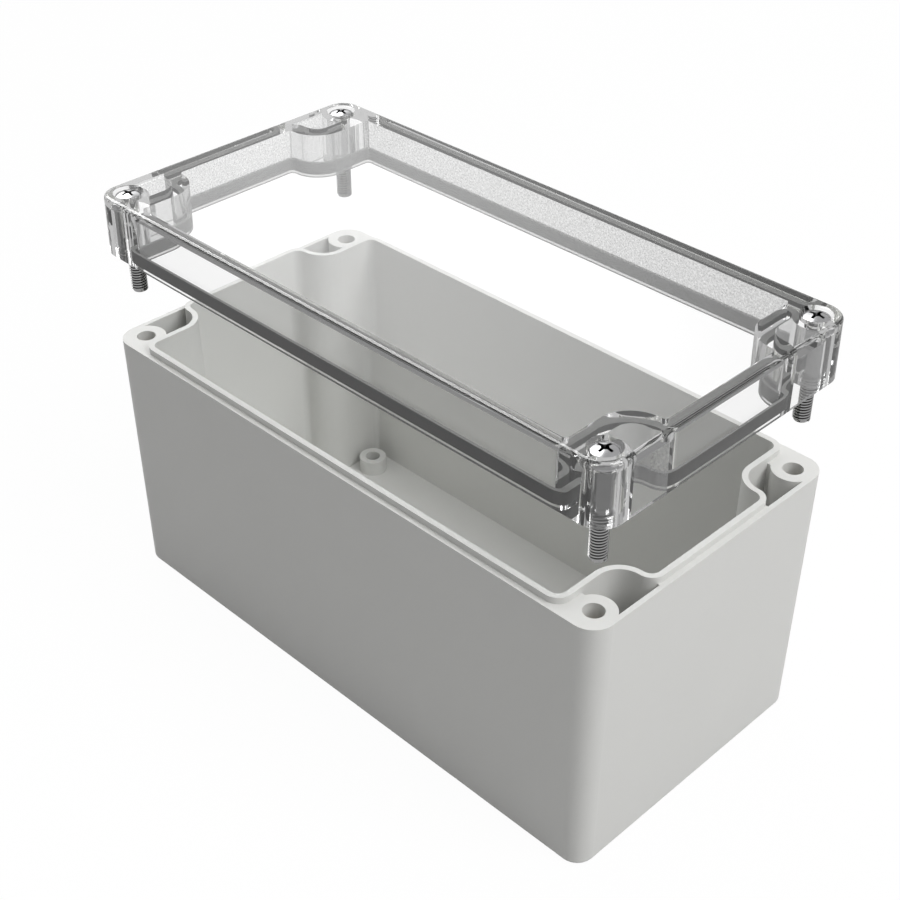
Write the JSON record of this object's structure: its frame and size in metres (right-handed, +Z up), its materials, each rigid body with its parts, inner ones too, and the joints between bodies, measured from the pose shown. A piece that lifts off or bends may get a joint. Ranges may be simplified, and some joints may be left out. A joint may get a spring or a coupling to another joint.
{
  "type": "plastic enclosure",
  "caption": "Deep grey plastic box with a clear screw-down lid lifted off it, a sealing gasket, corner mounting pockets outside the seal and board standoffs.",
  "frame": {"origin": "centre of the underside of the base", "axes": "+X along the long side, +Y across the box, +Z up from the base to the lid"},
  "size_m": [0.16, 0.08, 0.11],
  "materials": {
    "base_plastic": "fine satin moulded surface",
    "clear_plastic": "polished clear polycarbonate",
    "gasket_rubber": "matt foamed seal",
    "screw_steel": "bright turned steel",
    "insert_brass": "turned brass"
  },
  "bodies": {
    "base": {"base": "base_plastic", "insert_front_left": "insert_brass", "insert_front_right": "insert_brass", "insert_back_right": "insert_brass", "insert_back_left": "insert_brass"},
    "lid": {"lid": "clear_plastic", "gasket": "gasket_rubber"},
    "screw_front_left": {"screw_front_left": "screw_steel"},
    "screw_front_right": {"screw_front_right": "screw_steel"},
    "screw_back_right": {"screw_back_right": "screw_steel"},
    "screw_back_left": {"screw_back_left": "screw_steel"}
  },
  "joints": [
    {"name": "lid_lift", "type": "slide", "parent": "base", "child": "lid", "axis": [0, 0, 1], "range_m": [-0.02495, 0], "deforming": ["gasket"]},
    {"name": "screw_front_left_turn", "type": "hinge", "parent": "lid", "child": "screw_front_left", "pos_m": [-0.0745, -0.034, 0.107], "axis": [0, 0, 1], "continuous": true},
    {"name": "screw_front_right_turn", "type": "hinge", "parent": "lid", "child": "screw_front_right", "pos_m": [0.0745, -0.034, 0.107], "axis": [0, 0, 1], "continuous": true},
    {"name": "screw_back_right_turn", "type": "hinge", "parent": "lid", "child": "screw_back_right", "pos_m": [0.0745, 0.034, 0.107], "axis": [0, 0, 1], "continuous": true},
    {"name": "screw_back_left_turn", "type": "hinge", "parent": "lid", "child": "screw_back_left", "pos_m": [-0.0745, 0.034, 0.107], "axis": [0, 0, 1], "continuous": true}
  ]
}
